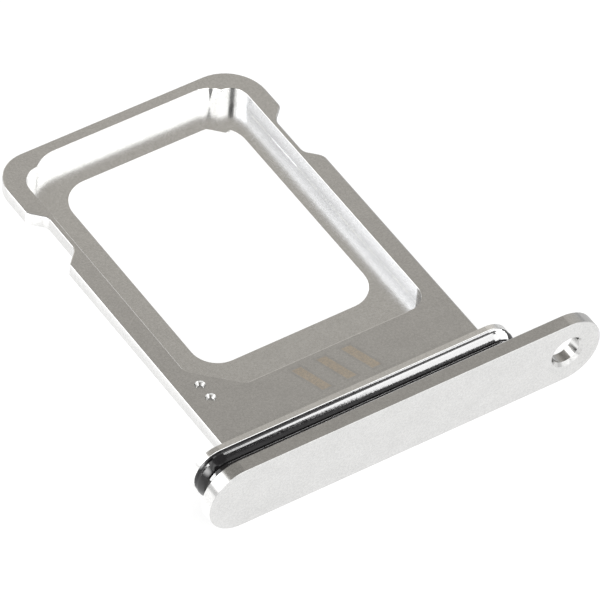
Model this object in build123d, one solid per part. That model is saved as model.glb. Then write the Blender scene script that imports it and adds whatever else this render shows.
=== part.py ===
from build123d import *
import math
import os

# A SIM card tray lying flat: a thin machined plate that carries the card, a slim collar and a rounded
# end cap, all one piece of steel, with a rubber seal round the neck between the collar and the cap.
# X runs across the tray, Y runs from the cap to the far end, Z is up. Sizes are in millimetres.
# While a piece is made, x = 0 is the middle of the plate, y = 0 the collar's rear face and z = 0 the
# plate's top face. At the end all of it moves to the middle of the underside of the whole tray.

# Plate
PLATE_HALF_WIDTH = 5.18
PLATE_END = 14.84
PLATE_THICKNESS = 1.0
UPRIGHT_WALL = 0.52
FAR_LEFT_RADIUS = 1.3
FAR_RIGHT_RADIUS = 1.6
PLATE_EDGE_BREAK = 0.025

# Detent notch in each long side
NOTCH_MIDDLE = 10.915
NOTCH_FLOOR_HALF = 0.85
NOTCH_DEPTH = 0.525
NOTCH_FLOOR_RADIUS = 0.4
NOTCH_FAR_MOUTH_RADIUS = 0.3
RIGHT_NEAR_MOUTH_RADIUS = 0.43
LEFT_NEAR_MOUTH_RADIUS = 0.08

# Card pocket, sunk from the top
POCKET_HALF_WIDTH = 4.475
POCKET_NEAR = 1.935
POCKET_FAR = 14.385
POCKET_DEPTH = 0.72
POCKET_CUT_LEG = 1.485
POCKET_CUT_RADIUS = 0.35
POCKET_NEAR_RADIUS = 0.75
POCKET_EDGE_BREAK = 0.012

# Lobes and cusps that the cutter left in the pocket's two far corners
LEFT_LOBE_RADIUS = 0.75
LEFT_LOBE_DROP = 0.38
LEFT_LOBE_END = (-2.766, POCKET_FAR)
RIGHT_LOBE_RADIUS = 0.67
RIGHT_LOBE_DROP = 0.415
RIGHT_FLAT_END = (3.12, POCKET_FAR)
RIGHT_SLOPE_END = (3.45, 14.285)
RIGHT_FIRST_CUSP = (3.51, 14.19)
RIGHT_SHOULDER = (3.695, 14.125)
CUSP_FLAT_DEPTH = 0.6
CUSP_FLAT_LEAN = 2.45
CUSP_FLAT_TURN = 36.8

# Window through the ledge
WINDOW_LEFT = -3.41
WINDOW_RIGHT = 3.65
WINDOW_NEAR = 3.57
WINDOW_FAR = 13.22
WINDOW_NEAR_LEFT_RADIUS = 1.0
WINDOW_NEAR_RIGHT_RADIUS = 1.1
WINDOW_FAR_RIGHT_RADIUS = 1.1
WINDOW_FAR_LEFT_RADIUS = 1.13

# Thin spur of the ledge that the cutter left standing in the window's far right corner
SPUR_TIP = (3.235, 12.715)
SPUR_SIDES = [(3.44, 12.755), (3.5, 12.9), (3.0, 13.25), (2.74, 13.215)]
SPUR_THICKNESS = 0.08

# Two blind marks beside the pocket's cut corner
DIMPLE_X = -4.35
DIMPLE_NEAR_Y = 1.975
DIMPLE_SPACING = 0.66
DIMPLE_RADIUS = 0.19
DIMPLE_FLOOR_RADIUS = 0.11
DIMPLE_DEPTH = 0.16

# Collar, neck and end cap, all centred on one height
AXIS_Z = -0.925
COLLAR_HALF_LENGTH = 6.38
COLLAR_RADIUS = 0.985
COLLAR_THICKNESS = 0.23
COLLAR_EDGE_BREAK = 0.015
SEAL_WIDTH = 0.93
SEAL_HEIGHT = 0.65
CAP_LEFT = -6.7
CAP_RIGHT = 9.1
CAP_RADIUS = 1.34
CAP_THICKNESS = 0.545
CAP_EDGE_BREAK = 0.018
CAP_REAR_BREAK = 0.04
EJECT_HOLE_RADIUS = 0.545
EJECT_HOLE_LEAD = 0.115
EJECT_HOLE_REAR_BREAK = 0.03

# Seal section, as pairs of distance from the collar and height over the collar's rim
COLLAR_SIDE = (0.0, -0.03)
FIRST_RIB_CROWN = (0.0447, -0.0484)
FIRST_RIB_FRONT = (0.085, -0.075)
CREASE = (0.1, -0.085)
SECOND_RIB_EDGE = (0.175, 0.01)
SECOND_RIB_TOP = (0.249, -0.0017)
SECOND_RIB_SLOPE = (0.364, -0.0434)
SECOND_RIB_FRONT = (0.469, -0.1044)
LAND_START = (0.5, -0.17)
LAND_END_HEIGHT = -0.19

# Places worked out from the sizes above
BEVEL = PLATE_THICKNESS - UPRIGHT_WALL
CAP_BACK = -COLLAR_THICKNESS - SEAL_WIDTH
CAP_FRONT = CAP_BACK - CAP_THICKNESS
CAP_MIDDLE_X = (CAP_LEFT + CAP_RIGHT) / 2
NECK_RADIUS = COLLAR_RADIUS - SEAL_HEIGHT
NECK_HALF_LENGTH = COLLAR_HALF_LENGTH - SEAL_HEIGHT
COLLAR_STRAIGHT_HALF = COLLAR_HALF_LENGTH - COLLAR_RADIUS
OUTLINE_OVERLAP = 0.1
BOTTOM_MIDDLE = (CAP_MIDDLE_X, (CAP_FRONT + PLATE_END) / 2, AXIS_Z - CAP_RADIUS)


def plate_outline(inset):
    """Outline of the plate, drawn in by inset on its three free sides and in the notches."""
    side = PLATE_HALF_WIDTH - inset
    floor = side - NOTCH_DEPTH
    slide = inset * math.tan(math.radians(22.5))
    floor_half = NOTCH_FLOOR_HALF + slide
    mouth_half = NOTCH_FLOOR_HALF + NOTCH_DEPTH + slide
    right = [
        (side, -OUTLINE_OVERLAP),
        (side, NOTCH_MIDDLE - mouth_half),
        (floor, NOTCH_MIDDLE - floor_half),
        (floor, NOTCH_MIDDLE + floor_half),
        (side, NOTCH_MIDDLE + mouth_half),
        (side, PLATE_END - inset),
    ]
    left = [(-x, y) for x, y in reversed(right)]
    right_near, left_near, far = [
        max(radius - inset, radius / 4)
        for radius in (RIGHT_NEAR_MOUTH_RADIUS, LEFT_NEAR_MOUTH_RADIUS, NOTCH_FAR_MOUTH_RADIUS)
    ]
    floors = [NOTCH_FLOOR_RADIUS + inset] * 2
    right_radii = [0, right_near, *floors, far, FAR_RIGHT_RADIUS - inset]
    left_radii = [FAR_LEFT_RADIUS - inset, far, *floors, left_near, 0]
    return make_face(FilletPolyline(*right, *left, radius=right_radii + left_radii, close=True))


def plate_blank():
    """Plate with an upright upper wall and a bevel round its underside."""
    upper = extrude(plate_outline(0), -UPRIGHT_WALL)
    top_rim = upper.faces().sort_by(Axis.Z)[-1].edges().filter_by(lambda e: e.center().Y > 0)
    upper = chamfer(top_rim, PLATE_EDGE_BREAK)
    lower = loft(
        [
            Pos(0, 0, -UPRIGHT_WALL) * plate_outline(0),
            Pos(0, 0, -PLATE_THICKNESS) * plate_outline(BEVEL),
        ],
        ruled=True,
    )
    return upper + lower


def pocket_outline():
    """Outline of the card pocket, with lobed far corners and one cut near corner."""
    side = POCKET_HALF_WIDTH
    left_lobe_top = (-side + LEFT_LOBE_RADIUS, POCKET_FAR - LEFT_LOBE_DROP)
    left_lobe_y = left_lobe_top[1] - LEFT_LOBE_RADIUS
    right_lobe_top = (side - RIGHT_LOBE_RADIUS, POCKET_FAR - RIGHT_LOBE_DROP)
    right_lobe_y = right_lobe_top[1] - RIGHT_LOBE_RADIUS
    straight_sides = FilletPolyline(
        (side, right_lobe_y),
        (side, POCKET_NEAR),
        (-side + POCKET_CUT_LEG, POCKET_NEAR),
        (-side, POCKET_NEAR + POCKET_CUT_LEG),
        (-side, left_lobe_y),
        radius=[POCKET_NEAR_RADIUS, POCKET_CUT_RADIUS, POCKET_CUT_RADIUS],
    )
    far_corners = [
        CenterArc((-side + LEFT_LOBE_RADIUS, left_lobe_y), LEFT_LOBE_RADIUS, 90, 90),
        TangentArc(LEFT_LOBE_END, left_lobe_top, tangent=(-1, 0)),
        Line(LEFT_LOBE_END, RIGHT_FLAT_END),
        Line(RIGHT_FLAT_END, RIGHT_SLOPE_END),
        Line(RIGHT_SLOPE_END, RIGHT_FIRST_CUSP),
        Line(RIGHT_FIRST_CUSP, RIGHT_SHOULDER),
        Line(RIGHT_SHOULDER, right_lobe_top),
        CenterArc((side - RIGHT_LOBE_RADIUS, right_lobe_y), RIGHT_LOBE_RADIUS, 0, 90),
    ]
    return make_face([*straight_sides.edges(), *[edge for arc in far_corners for edge in arc.edges()]])


def window_outline():
    """Outline of the opening that leaves a narrow ledge under the card."""
    return make_face(
        FilletPolyline(
            (WINDOW_LEFT, WINDOW_NEAR),
            (WINDOW_RIGHT, WINDOW_NEAR),
            (WINDOW_RIGHT, WINDOW_FAR),
            (WINDOW_LEFT, WINDOW_FAR),
            radius=[
                WINDOW_NEAR_LEFT_RADIUS,
                WINDOW_NEAR_RIGHT_RADIUS,
                WINDOW_FAR_RIGHT_RADIUS,
                WINDOW_FAR_LEFT_RADIUS,
            ],
            close=True,
        )
    )


def spur():
    """Thin three-cornered spur on the ledge at the window's far right corner."""
    outline = make_face(Polyline(SPUR_TIP, *SPUR_SIDES, close=True))
    return extrude(Pos(0, 0, -POCKET_DEPTH) * outline, -SPUR_THICKNESS)


def on_pocket_rim(edge):
    """Whether an edge runs round the pocket in the plate's top face."""
    middle = edge @ 0.5
    inside = abs(middle.X) < PLATE_HALF_WIDTH - PLATE_EDGE_BREAK - 0.1
    along = POCKET_NEAR - 0.01 < middle.Y < POCKET_FAR + 0.01
    return abs(middle.Z) < 1e-6 and abs((edge @ 0).Z) < 1e-6 and inside and along


def dimple(y):
    """One small blind mark with sloping walls."""
    middle = Pos(DIMPLE_X, y, -DIMPLE_DEPTH / 2)
    return middle * Cone(DIMPLE_FLOOR_RADIUS, DIMPLE_RADIUS, DIMPLE_DEPTH)


def cusp_flat():
    """Block that takes a small leaning flat off the top of the pocket's first cusp."""
    foot = Pos(*RIGHT_FIRST_CUSP, -CUSP_FLAT_DEPTH)
    lean = Rot(Z=-CUSP_FLAT_TURN) * Rot(X=-CUSP_FLAT_LEAN)
    return foot * lean * Pos(0, -0.05, 0.35) * Box(0.2, 0.1, 0.7)


def plate():
    """Plate with its pocket, window and marks."""
    body = plate_blank()
    body -= extrude(pocket_outline(), -POCKET_DEPTH)
    rim = body.edges().filter_by(on_pocket_rim)
    body = chamfer(rim, POCKET_EDGE_BREAK)
    body -= cusp_flat()
    body -= extrude(window_outline(), -PLATE_THICKNESS)
    body += spur()
    body -= dimple(DIMPLE_NEAR_Y)
    body -= dimple(DIMPLE_NEAR_Y + DIMPLE_SPACING)
    return body


def bar(length, radius, rear_y, thickness, middle_x=0):
    """Round-ended bar across the tray, from its rear face towards the front."""
    section = Pos(middle_x, AXIS_Z) * SlotOverall(length, 2 * radius)
    return extrude(Plane.XZ.offset(-rear_y) * section, thickness)


def collar():
    """Slim flange that the plate grows out of."""
    body = bar(2 * COLLAR_HALF_LENGTH, COLLAR_RADIUS, 0, COLLAR_THICKNESS)
    rims = body.faces().sort_by(Axis.Y)[0].edges() + body.faces().sort_by(Axis.Y)[-1].edges()
    return chamfer(rims, COLLAR_EDGE_BREAK)


def neck():
    """Core inside the seal, between the collar and the cap."""
    return bar(2 * NECK_HALF_LENGTH, NECK_RADIUS, -COLLAR_THICKNESS, SEAL_WIDTH)


def hole_mouths(body):
    """Circles where the eject hole's bore ends, from the front one to the rear one."""
    circles = body.edges().filter_by(GeomType.CIRCLE)
    return circles.filter_by(lambda e: abs(e.radius - EJECT_HOLE_RADIUS) < 1e-6).sort_by(Axis.Y)


def cap():
    """End cap with the eject hole in its longer end."""
    body = bar(CAP_RIGHT - CAP_LEFT, CAP_RADIUS, CAP_BACK, CAP_THICKNESS, CAP_MIDDLE_X)
    body = chamfer(body.faces().sort_by(Axis.Y)[0].edges(), CAP_EDGE_BREAK)
    body = chamfer(body.faces().sort_by(Axis.Y)[-1].edges(), CAP_REAR_BREAK)
    hole_axis = Pos(CAP_RIGHT - CAP_RADIUS, CAP_BACK, AXIS_Z) * Rot(X=90)
    body -= hole_axis * Cylinder(EJECT_HOLE_RADIUS, 3 * CAP_THICKNESS)
    body = chamfer(hole_mouths(body)[0], EJECT_HOLE_LEAD)
    return chamfer(hole_mouths(body)[-1], EJECT_HOLE_REAR_BREAK)


def tray_body():
    """The whole metal piece."""
    return plate() + collar() + neck() + cap()


def seal_point(place):
    """Point of the seal's section, from its distance from the collar and its height over the rim."""
    distance, height = place
    return (-COLLAR_THICKNESS - distance, COLLAR_RADIUS + height)


def seal_section():
    """Section of the seal above the end axis: a low rib, a broad sloping rib and a land beside the cap."""
    side, first_front, crease, edge, top, second_front, land = [
        seal_point(place)
        for place in (
            COLLAR_SIDE,
            FIRST_RIB_FRONT,
            CREASE,
            SECOND_RIB_EDGE,
            SECOND_RIB_TOP,
            SECOND_RIB_FRONT,
            LAND_START,
        )
    ]
    cap_edge = seal_point((SEAL_WIDTH, LAND_END_HEIGHT))
    cap_root = (CAP_BACK, NECK_RADIUS)
    collar_root = (-COLLAR_THICKNESS, NECK_RADIUS)
    edges = [
        Line(collar_root, side),
        ThreePointArc(side, seal_point(FIRST_RIB_CROWN), first_front),
        Line(first_front, crease),
        Line(crease, edge),
        Line(edge, top),
        ThreePointArc(top, seal_point(SECOND_RIB_SLOPE), second_front),
        Line(second_front, land),
        Line(land, cap_edge),
        Line(cap_edge, cap_root),
        Line(cap_root, collar_root),
    ]
    return Plane.YZ * make_face(edges)


def seal_ring():
    """Rubber ring: a straight run above and below the neck and a half turn round each end."""
    section = seal_section()
    upper = Pos(-COLLAR_STRAIGHT_HALF, 0, AXIS_Z) * extrude(section, 2 * COLLAR_STRAIGHT_HALF)
    lower = Pos(0, 0, 2 * AXIS_Z) * mirror(upper, about=Plane.XY)
    right_end = Pos(COLLAR_STRAIGHT_HALF, 0, AXIS_Z) * revolve(section, Axis.Y, 180)
    left_end = mirror(right_end, about=Plane.YZ)
    return upper + lower + right_end + left_end


def main():
    os.makedirs("parts", exist_ok=True)
    to_origin = Pos(*[-value for value in BOTTOM_MIDDLE])
    export_step(to_origin * tray_body(), "parts/tray_body.step")
    export_step(to_origin * seal_ring(), "parts/seal_ring.step")


main()
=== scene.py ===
import math

import bpy
from mathutils import Matrix, Vector

MM = 0.001
WHITE = (1, 1, 1, 1)

# Camera: azimuth, elevation and roll in degrees, clip in metres, the rest in millimetres and in pixels
# of a 600 x 600 picture
VIEW_AZIMUTH = 36.79409
VIEW_ELEVATION = 46.66748
VIEW_ROLL = 4.86014
VIEW_DISTANCE = 250.0
VIEW_FOCAL_PIXELS = 7453.1775
VIEW_SHIFT = (1.76155, -2.94959)
VIEW_ORIGIN = (1.2, 6.6325, -2.265)
VIEW_CLIP = (0.01, 10.0)
PICTURE_PIXELS = 600
SENSOR_MM = 36.0

# Studio: level of light by direction, with azimuths from +Y towards +X and elevations, in degrees. A
# screen is its level, the pairs over which it rises at its left and falls at its right, and the same
# pairs for its lower and upper edge.
BASE_LIGHT = 0.85
SCREENS = (
    (2.5, ((-116, -108), (-42, -33)), ((32, 38), (56, 62))),
    (2.2, ((-68, -62), (-44, -38)), ((12, 16), (32, 38))),
    (2.8, ((68, 80), (188, 197)), ((36, 40), (50, 54))),
    (1.3, ((92, 104), (192, 200)), ((18, 24), (36, 40))),
    (2.4, ((-182, -181), (-120, -112)), ((36, 40), (56, 62))),
    (1.5, ((-182, -180), (-116, -108)), ((4, 10), (28, 34))),
    (0.47, ((40, 60), (92, 104)), ((-4, 4), (34, 40))),
)
CEILING_START = (58, 66)
CEILING_LIGHT = 0.3

# Warm grey card behind the tray, which the level faces mirror: it has CARD_LEVEL at the elevation
# CARD_MIDDLE and loses CARD_FALL with each degree upwards, within CARD_RANGE
CARD = ((-37, -31), (48, 64)), ((8, 16), (62, 68))
CARD_LEVEL = 0.435
CARD_MIDDLE = 46.7
CARD_FALL = 0.045
CARD_RANGE = (0.3, 0.62)
CARD_TINT = (1.055, 1.01, 0.935)

# Dark lens in front: the inner and outer half angle of its cone in degrees
LENS_DIRECTION = (-0.411, -0.549, 0.728)
LENS_CONE = (10, 15)
LENS_LIGHT = 0.03

# White table: its size in metres, its grey for light that reaches it, and what the camera sees of it,
# a glow and a softer grey that keeps the shadow
TABLE_SIZE = 4.0
TABLE_GREY = 0.8
TABLE_SHOWN_GLOW = 0.82
TABLE_SHOWN_GREY = 0.26

# Glow that reflections see on the table: in front of the cap, behind it, in a strip behind the cap's left
# end, and from its right end on, with the edges in millimetres
TABLE_FRONT = 0.8
TABLE_BEHIND = 1.25
TABLE_SIDE = 0.87
TABLE_RIGHT = 0.38
TABLE_FRONT_EDGE = (-8.2, -7.2)
TABLE_SIDE_EDGES = ((-7.65, -7.5), (-5.3, -5.1))
TABLE_RIGHT_EDGE = (4.8, 6.6)

# Bright panel over the tray, which only the seal sees. Its left edge is a row of pairs: the angle of
# the line to it from a point above the seal, and its x in millimetres. It fades towards the left.
PANEL_HEIGHT = 60.0
PANEL_RADIANCE = 21.0
PANEL_FADE = (18.0, 23.0)
PANEL_FADED = 0.5
PANEL_START = (0.0, -7.1, 2.3)
PANEL_RIGHT = 60.0
PANEL_LEFT_EDGE = (
    (22, 18.8),
    (10, 18.8),
    (6, 21.0),
    (2, 22.5),
    (-1.5, 23.7),
    (-5, 25.2),
    (-13.5, 27.2),
    (-15, 28.4),
    (-17.5, 29.8),
    (-21, 33.0),
    (-26, 37.0),
)

# Upright panels beside the tray, also for the seal alone: name, x, range of y and of z in millimetres,
# radiance, and how it fades. The round one fades with the distance from its middle.
GLOW_RADIANCE = 11.0
GLOW_FADE = (2.0, 26.0)
SIDE_PANELS = (
    ("panel_right", 60.0, (-28.0, 24.0), (2.0, 61.0), PANEL_RADIANCE, None),
    ("panel_left", -60.0, (11.0, 26.0), (1.0, 60.0), PANEL_RADIANCE, None),
    ("panel_glow", -60.0, (-42.0, 7.0), (0.0, 56.0), GLOW_RADIANCE, "round"),
)

# Steel: its colour, and how far a normal points along Z where a face becomes level or turned upwards,
# and along X where it is no longer turned to the left
STEEL = (0.73, 0.728, 0.72)
LEVEL_NORMAL = (0.93, 0.995)
UPWARD_NORMAL = (0.05, 0.3)
LEFTWARD_NORMAL = (-0.9, -0.7)

# Finish of the steel: roughness and bumps of the upright faces, and what the level faces add to them
STEEL_ROUGHNESS = 0.14
STEEL_LEVEL_ROUGHNESS = 0.09
STEEL_GRAIN_ROUGHNESS = 0.03
STEEL_BUMP = 0.15
STEEL_LEVEL_BUMP = 0.85
STEEL_BUMP_STRENGTH = 0.065
BUMP_METRES = 0.00001

# Noise per millimetre, and the tones that it gives the steel
STEEL_GRAIN = {"Scale": 14.0, "Detail": 4.0, "Roughness": 0.6}
STEEL_CLOUD = {"Scale": 1.3, "Detail": 3.0, "Roughness": 0.6}
GRAIN_RANGE = (0.3, 0.7)
GRAIN_MIDDLE = 0.5
GRAIN_TONE = 0.4
CLOUD_RANGE = (0.25, 0.75)
CLOUD_TONES = (0.975, 1.025)

# Painted light and shade by place, in millimetres. The top face begins at TOP_START and is painted
# darker towards the cap, changing along Y from one value of TOP_PAINTED_SHADE_SLOPE to the other.
# TOP_PAINTED_LIGHT_BANDS are bands along Y on all that is turned upwards: painted shade below 1, painted
# highlight above 1.
# POCKET_RIM is a painted highlight along the edge of the rail at the pocket, with its range and
# softness along X and along Y.
TOP_START = (2.0, 2.1)
TOP_PAINTED_SHADE_SLOPE = ((-6.0, 7.5), (0.88, 0.96))
TOP_SOFT = 0.02
TOP_PAINTED_LIGHT_BANDS = (
    (-9.0, -7.7, 0.9),
    (-6.81, -6.55, 1.36),
    (-6.5, -6.42, 0.95),
)
POCKET_RIM = ((-4.1, 2.4, 0.3), (-4.67, -4.62, 0.02))
POCKET_RIM_HIGHLIGHT_TONE = 1.38

# Right wall of the pocket: its range and softness along X, its cooler tint, and its tones between two
# heights, all painted reflection that makes the wall cooler and brighter. The ledge, up to LEDGE_TOP,
# is painted darker towards the foot of that wall, a painted shade in that corner.
WALL_PLACE = (3.1, 3.4, 0.05)
WALL_PAINTED_TINT = (0.985, 1.0, 1.045)
WALL_SOFT = 0.01
WALL_PAINTED_LIGHT_BANDS = (
    (1.5, 1.6, 1.35),
    (1.6, 2.3, 1.22),
)
WALL_FOOT = (2.85, 3.3)
WALL_FOOT_PAINTED_SHADE = 0.72
LEDGE_TOP = (1.7, 1.8)

# Plain marks on the near rail, in millimetres: a thin darker rim round each, and a tint that the grain
# wears down to MARK_WORN
MARK_MIDDLES = (-2.15, -1.15, -0.15)
MARK_WIDTH = 0.36
MARK_SLANT = 0.35
MARK_RANGE = (-6.2, -4.95)
MARK_SOFT = 0.06
MARK_RIM = 0.1
MARK_RIM_TONE = 0.93
MARK_TINT = (1.18, 1.06, 0.91)
MARK_WEAR = (0.3, 0.6)
MARK_WORN = 0.55

# Rubber of the seal
RUBBER = (0.012, 0.011, 0.012, 1)
RUBBER_GRAIN = {"Scale": 9.0, "Detail": 4.0, "Roughness": 0.6}
RUBBER_ROUGHNESS = (0.05, 0.11)
RUBBER_BUMP_STRENGTH = 0.1
RUBBER_IOR = 1.5

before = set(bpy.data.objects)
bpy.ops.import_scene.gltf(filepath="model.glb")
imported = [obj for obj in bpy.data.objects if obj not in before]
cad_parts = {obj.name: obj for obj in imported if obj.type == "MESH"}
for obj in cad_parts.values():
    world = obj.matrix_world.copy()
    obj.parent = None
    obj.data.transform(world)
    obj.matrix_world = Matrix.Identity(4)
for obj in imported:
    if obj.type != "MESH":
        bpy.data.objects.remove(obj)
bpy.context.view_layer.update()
scene = bpy.context.scene
scene.view_settings.view_transform = "Standard"


def make_camera():
    """Puts the camera where the photograph was taken from."""
    azimuth = math.radians(VIEW_AZIMUTH)
    elevation = math.radians(VIEW_ELEVATION)
    roll = math.radians(VIEW_ROLL)
    forward = Vector(
        (
            math.sin(azimuth) * math.cos(elevation),
            math.cos(azimuth) * math.cos(elevation),
            -math.sin(elevation),
        )
    )
    level = Vector((math.cos(azimuth), -math.sin(azimuth), 0.0))
    up = level.cross(forward)
    right = level * math.cos(roll) + up * math.sin(roll)
    top = up * math.cos(roll) - level * math.sin(roll)
    eye = -VIEW_SHIFT[0] * right - VIEW_SHIFT[1] * top - VIEW_DISTANCE * forward
    eye -= Vector(VIEW_ORIGIN)
    data = bpy.data.cameras.new("camera")
    data.sensor_width = SENSOR_MM
    data.lens = SENSOR_MM * VIEW_FOCAL_PIXELS / PICTURE_PIXELS
    data.clip_start, data.clip_end = VIEW_CLIP
    camera = bpy.data.objects.new("camera", data)
    turn = Matrix((right, top, -forward)).transposed().to_4x4()
    camera.matrix_world = Matrix.Translation(eye * MM) @ turn
    scene.collection.objects.link(camera)
    scene.camera = camera


class Nodes:
    """Small helper that adds shader nodes and links them by socket name."""

    def __init__(self, tree):
        self.tree = tree
        tree.nodes.clear()

    def add(self, kind, values=(), **settings):
        """New node with these settings, and these values or links on its inputs."""
        node = self.tree.nodes.new(kind)
        for key, value in settings.items():
            setattr(node, key, value)
        for key, value in dict(values).items():
            self.put(value, node.inputs[key])
        return node

    def put(self, value, socket):
        """Links an output, or a node's first one, to a socket, or sets a plain value on it."""
        if isinstance(value, bpy.types.NodeSocket):
            self.tree.links.new(value, socket)
        elif isinstance(value, bpy.types.Node):
            self.tree.links.new(value.outputs[0], socket)
        else:
            socket.default_value = value

    def math(self, operation, a, b=0.0, c=0.0):
        """Result of one operation on up to three numbers."""
        return self.add("ShaderNodeMath", {0: a, 1: b, 2: c}, operation=operation).outputs[0]

    def times(self, a, b):
        """Product of two numbers."""
        return self.math("MULTIPLY", a, b)

    def step(self, value, low, high, to_low=0.0, to_high=1.0):
        """Smooth change from to_low at low to to_high at high."""
        values = {"Value": value, "From Min": low, "From Max": high, "To Min": to_low, "To Max": to_high}
        return self.add("ShaderNodeMapRange", values, interpolation_type="SMOOTHSTEP").outputs[0]

    def place(self):
        """Place in the scene in metres."""
        return self.add("ShaderNodeNewGeometry").outputs["Position"]

    def split(self, vector):
        """X, Y and Z of a vector."""
        return self.add("ShaderNodeSeparateXYZ", {"Vector": vector}).outputs

    def join(self, numbers):
        """Vector or colour of three numbers."""
        return self.add("ShaderNodeCombineXYZ", dict(zip("XYZ", numbers))).outputs[0]


def new_material(name):
    """New material with an empty tree, and the helper that fills it."""
    material = bpy.data.materials.new(name)
    material.use_nodes = True
    return material, Nodes(material.node_tree)


def radians(pair):
    """Pair of degrees in radians."""
    return [math.radians(v) for v in pair]


def metres(pair):
    """Pair of millimetres in metres."""
    return [v * MM for v in pair]


def grey(level):
    """Opaque grey of that level."""
    return (level, level, level, 1)


def window(n, value, rise, fall):
    """1 between two numbers, each given as the pair over which the mask rises or falls."""
    return n.times(n.step(value, *rise), n.step(value, *fall, 1.0, 0.0))


def band(n, value, low, high, soft):
    """1 between low and high, with edges of the given softness, all in millimetres."""
    return window(n, value, (low - soft / 2, low + soft / 2), (high - soft / 2, high + soft / 2))


def sector(n, azimuth, elevation, sides, heights):
    """1 between two azimuths and two elevations, each a pair of degrees over which it rises or falls."""
    across = window(n, azimuth, *[radians(edge) for edge in sides])
    upwards = window(n, elevation, *[radians(edge) for edge in heights])
    return n.times(across, upwards)


def direction_mask(n, xyz, target, inner, outer):
    """1 inside a cone of half angle inner round a direction, falling to 0 at outer."""
    length = math.sqrt(sum(v * v for v in target))
    x, y, z = [n.times(part, v / length) for part, v in zip(xyz, target)]
    total = n.math("ADD", n.math("ADD", x, y), z)
    return n.step(total, math.cos(math.radians(outer)), math.cos(math.radians(inner)))


def blend_value(n, under, over, mask):
    """under where mask is 0 and over where it is 1."""
    return n.math("MULTIPLY_ADD", n.math("SUBTRACT", over, under), mask, under)


def toned(n, value, mask, change):
    """value, times change where mask is 1."""
    return n.times(value, n.math("MULTIPLY_ADD", mask, change - 1.0, 1.0))


def make_world():
    """White studio with bright screens, one warm grey card behind and the dark lens in front."""
    world = bpy.data.worlds.new("studio")
    scene.world = world
    world.use_nodes = True
    n = Nodes(world.node_tree)
    x, y, z = n.split(n.add("ShaderNodeTexCoord").outputs["Generated"])
    azimuth = n.math("ARCTAN2", x, y)
    elevation = n.math("ARCSINE", z)
    value = BASE_LIGHT
    for level, sides, heights in SCREENS:
        value = blend_value(n, value, level, sector(n, azimuth, elevation, sides, heights))
    ceiling = n.step(elevation, *radians(CEILING_START))
    value = blend_value(n, value, CEILING_LIGHT, ceiling)
    low, high = CARD_RANGE
    fall = -CARD_FALL * math.degrees(1.0)
    shade = n.math("MULTIPLY_ADD", elevation, fall, CARD_LEVEL + CARD_FALL * CARD_MIDDLE)
    shade = n.math("MAXIMUM", n.math("MINIMUM", shade, high), low)
    card = sector(n, azimuth, elevation, *CARD)
    value = blend_value(n, value, shade, card)
    lens = direction_mask(n, (x, y, z), LENS_DIRECTION, *LENS_CONE)
    value = blend_value(n, value, LENS_LIGHT, lens)
    seen = n.add("ShaderNodeLightPath").outputs["Is Camera Ray"]
    value = n.math("MAXIMUM", value, seen)
    colour = n.join([toned(n, value, card, tint) for tint in CARD_TINT])
    background = n.add("ShaderNodeBackground", {"Color": colour, "Strength": 1.0})
    n.add("ShaderNodeOutputWorld", {"Surface": background})


def panel_corner(x, angle):
    """Corner of the panel, from its x and the angle of the line to it from above the seal."""
    a = math.radians(angle)
    start = Vector(PANEL_START)
    y = start.y + PANEL_HEIGHT * math.sin(a)
    z = start.z + PANEL_HEIGHT * math.cos(a)
    return Vector((x, y, z)) * MM


def make_panel(name, corners, faces, radiance, fade):
    """Bright panel that adds its light to the seal alone and hides nothing behind it."""
    mesh = bpy.data.meshes.new(name)
    mesh.from_pydata(corners, [], faces)
    panel = bpy.data.objects.new(name, mesh)
    scene.collection.objects.link(panel)
    material, n = new_material(name)
    strength = radiance
    if fade == "left":
        across = n.split(n.place())["X"]
        strength = n.step(across, *metres(PANEL_FADE), radiance * PANEL_FADED, radiance)
    if fade == "round":
        middle = sum(corners, Vector()) / len(corners)
        away = n.add("ShaderNodeVectorMath", {0: n.place(), 1: middle}, operation="DISTANCE")
        strength = n.step(away.outputs["Value"], *metres(GLOW_FADE), radiance, 0.0)
    glow = n.add("ShaderNodeEmission", {"Color": WHITE, "Strength": strength})
    clear = n.add("ShaderNodeBsdfTransparent", {"Color": WHITE})
    both = n.add("ShaderNodeAddShader", {0: glow, 1: clear})
    n.add("ShaderNodeOutputMaterial", {"Surface": both})
    panel.data.materials.append(material)
    panel.visible_camera = False
    panel.visible_diffuse = False
    panel.visible_shadow = False
    lit = bpy.data.collections.new("lit_by_" + name)
    lit.objects.link(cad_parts["seal_ring"])
    panel.light_linking.receiver_collection = lit


def make_panels():
    """One panel over the tray, one beside its right end and two beside its left."""
    corners = []
    for angle, x in PANEL_LEFT_EDGE:
        corners += [panel_corner(x, angle), panel_corner(PANEL_RIGHT, angle)]
    faces = [(i, i + 1, i + 3, i + 2) for i in range(0, len(corners) - 2, 2)]
    make_panel("panel_over", corners, faces, PANEL_RADIANCE, "left")
    for name, x, (near, far), (low, high), radiance, fade in SIDE_PANELS:
        outline = ((near, low), (far, low), (far, high), (near, high))
        corners = [Vector((x, y, z)) * MM for y, z in outline]
        make_panel(name, corners, [(0, 1, 2, 3)], radiance, fade)


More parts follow.
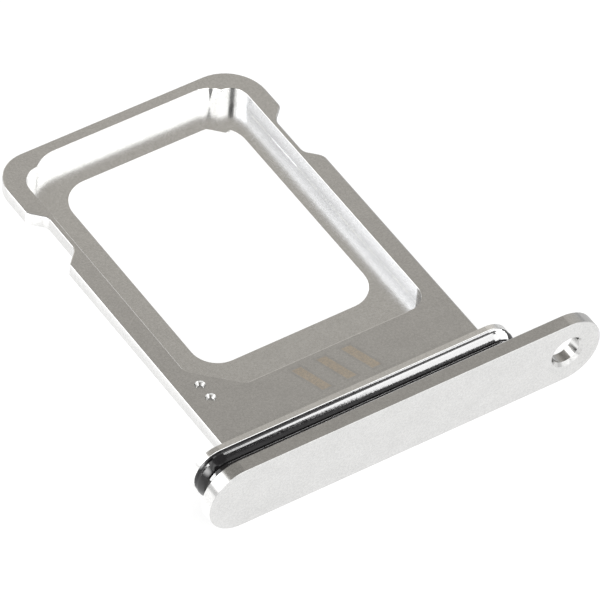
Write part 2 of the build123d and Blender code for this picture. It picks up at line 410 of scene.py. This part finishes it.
def make_floor():
    """White table under the tray, which keeps its soft shadow."""
    bpy.ops.mesh.primitive_plane_add(size=TABLE_SIZE, location=(0, 0, 0))
    floor = bpy.context.object
    floor.name = "floor"
    material, n = new_material("white_table")
    paths = n.add("ShaderNodeLightPath").outputs
    x, y, _ = n.split(n.place())
    behind = n.step(y, *metres(TABLE_FRONT_EDGE))
    side = window(n, x, *[metres(edge) for edge in TABLE_SIDE_EDGES])
    right = n.step(x, *metres(TABLE_RIGHT_EDGE))
    mirrored = blend_value(n, TABLE_BEHIND, TABLE_SIDE, side)
    mirrored = blend_value(n, mirrored, TABLE_RIGHT, right)
    mirrored = blend_value(n, TABLE_FRONT, mirrored, behind)
    camera = paths["Is Camera Ray"]
    glossy = n.math("MAXIMUM", paths["Is Glossy Ray"], paths["Is Transmission Ray"])
    strength = blend_value(n, mirrored, TABLE_SHOWN_GLOW, camera)
    diffuse = n.add("ShaderNodeBsdfDiffuse", {"Color": grey(TABLE_GREY)})
    soft = n.add("ShaderNodeBsdfDiffuse", {"Color": grey(TABLE_SHOWN_GREY)})
    glow = n.add("ShaderNodeEmission", {"Color": WHITE, "Strength": strength})
    shown = n.add("ShaderNodeAddShader", {0: soft, 1: glow})
    mix = n.add("ShaderNodeMixShader", {0: n.math("MAXIMUM", camera, glossy), 1: diffuse, 2: shown})
    n.add("ShaderNodeOutputMaterial", {"Surface": mix})
    floor.data.materials.append(material)


def object_millimetres(n):
    """Place on the piece in millimetres."""
    place = n.add("ShaderNodeTexCoord").outputs["Object"]
    return n.add("ShaderNodeVectorMath", {0: place, "Scale": 1 / MM}, operation="SCALE").outputs[0]


def noise(n, place, settings):
    """Noise over the piece, from 0 to 1."""
    return n.add("ShaderNodeTexNoise", {"Vector": place, **settings}).outputs["Fac"]


def bumps(n, height, strength):
    """Normal with bumps of that height."""
    values = {"Height": height, "Strength": strength, "Distance": BUMP_METRES}
    return n.add("ShaderNodeBump", values).outputs[0]


def finish_with(n, values):
    """Ends the tree in the main shader with these inputs."""
    surface = n.add("ShaderNodeBsdfPrincipled", values)
    n.add("ShaderNodeOutputMaterial", {"Surface": surface})


def marks(n, x, y, grow):
    """Three plain slanted bars on the near rail, made larger all round by grow."""
    near, far = MARK_RANGE
    along = n.math("MULTIPLY_ADD", n.math("SUBTRACT", y, (near + far) / 2), MARK_SLANT, x)
    half = MARK_WIDTH / 2 + grow
    total = 0.0
    for middle in MARK_MIDDLES:
        bar = band(n, along, middle - half, middle + half, MARK_SOFT)
        total = n.math("MAXIMUM", total, bar)
    return n.times(total, band(n, y, near - grow, far + grow, MARK_SOFT))


def steel():
    """Satin machined steel: a fine grain on the level faces, a smoother finish on the upright ones."""
    material, n = new_material("machined_steel")
    place = object_millimetres(n)
    x, y, z = n.split(place)
    normal_x, _, normal_z = n.split(n.add("ShaderNodeTexCoord").outputs["Normal"])
    level = n.step(n.math("ABSOLUTE", normal_z), *LEVEL_NORMAL)
    top = n.step(normal_z, *LEVEL_NORMAL)
    upward = n.step(normal_z, *UPWARD_NORMAL)
    upper = n.times(top, n.step(z, *TOP_START))

    grain = noise(n, place, STEEL_GRAIN)
    fine = n.step(grain, *GRAIN_RANGE, 0.0, STEEL_GRAIN_ROUGHNESS)
    coarse = n.math("MULTIPLY_ADD", level, STEEL_LEVEL_ROUGHNESS, STEEL_ROUGHNESS)
    roughness = n.math("ADD", coarse, fine)
    height = n.times(grain, n.math("MULTIPLY_ADD", level, STEEL_LEVEL_BUMP, STEEL_BUMP))

    # The steel's own random tone from cloud and grain, into which painted shade and highlights are
    # multiplied
    grain_tone_and_painted_light = n.step(noise(n, place, STEEL_CLOUD), *CLOUD_RANGE, *CLOUD_TONES)
    grain_tone_and_painted_light = n.math("MULTIPLY_ADD", n.math("SUBTRACT", grain, GRAIN_MIDDLE), GRAIN_TONE, grain_tone_and_painted_light)
    # Painted shade: the top face is darker towards the cap
    painted_top_shade = n.step(y, *TOP_PAINTED_SHADE_SLOPE[0], *TOP_PAINTED_SHADE_SLOPE[1])
    grain_tone_and_painted_light = n.times(grain_tone_and_painted_light, blend_value(n, 1.0, painted_top_shade, upper))
    # Painted reflection on the right wall of the pocket: brighter bands and a cooler tint
    wall = n.times(n.step(normal_x, *LEFTWARD_NORMAL, 1.0, 0.0), band(n, x, *WALL_PLACE))
    for low, high, change in WALL_PAINTED_LIGHT_BANDS:
        grain_tone_and_painted_light = toned(n, grain_tone_and_painted_light, n.times(wall, band(n, z, low, high, WALL_SOFT)), change)
    # Painted shade on the ledge towards the foot of the pocket's right wall
    foot = n.times(n.step(x, *WALL_FOOT), n.step(z, *LEDGE_TOP, 1.0, 0.0))
    grain_tone_and_painted_light = toned(n, grain_tone_and_painted_light, n.times(foot, top), WALL_FOOT_PAINTED_SHADE)
    # Painted shade and painted highlights in bands along Y on the faces turned upwards
    for low, high, change in TOP_PAINTED_LIGHT_BANDS:
        grain_tone_and_painted_light = toned(n, grain_tone_and_painted_light, n.times(upward, band(n, y, low, high, TOP_SOFT)), change)
    # Painted highlight along the edge of the rail at the pocket
    rim = n.times(band(n, x, *POCKET_RIM[0]), band(n, y, *POCKET_RIM[1]))
    rim = n.times(rim, n.times(upward, n.step(z, *TOP_START)))
    grain_tone_and_painted_light = toned(n, grain_tone_and_painted_light, rim, POCKET_RIM_HIGHLIGHT_TONE)
    grain_tone_and_painted_light = toned(n, grain_tone_and_painted_light, n.times(marks(n, x, y, MARK_RIM), upper), MARK_RIM_TONE)

    mark = n.times(marks(n, x, y, 0.0), upper)
    mark = n.times(mark, n.step(grain, *MARK_WEAR, MARK_WORN, 1.0))
    # Steel colour with the marks' tint and the right wall's cooler tint, which is painted reflection
    channels = []
    for value, marked, cool in zip(STEEL, MARK_TINT, WALL_PAINTED_TINT):
        metal = n.math("MULTIPLY_ADD", mark, (marked - 1.0) * value, value)
        channels.append(toned(n, n.times(grain_tone_and_painted_light, metal), wall, cool))
    finish_with(
        n,
        {
            "Base Color": n.join(channels),
            "Metallic": 1.0,
            "Roughness": roughness,
            "Normal": bumps(n, height, STEEL_BUMP_STRENGTH),
        },
    )
    return material


def rubber():
    """Glossy black silicone."""
    material, n = new_material("black_silicone")
    grain = noise(n, object_millimetres(n), RUBBER_GRAIN)
    finish_with(
        n,
        {
            "Base Color": RUBBER,
            "Roughness": n.step(grain, *GRAIN_RANGE, *RUBBER_ROUGHNESS),
            "IOR": RUBBER_IOR,
            "Normal": bumps(n, grain, RUBBER_BUMP_STRENGTH),
        },
    )
    return material


def dress(node, material):
    """Gives a CAD node its finished material."""
    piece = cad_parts[node]
    piece.data.materials.clear()
    piece.data.materials.append(material)


make_camera()
make_world()
make_panels()
make_floor()
dress("tray_body", steel())
dress("seal_ring", rubber())
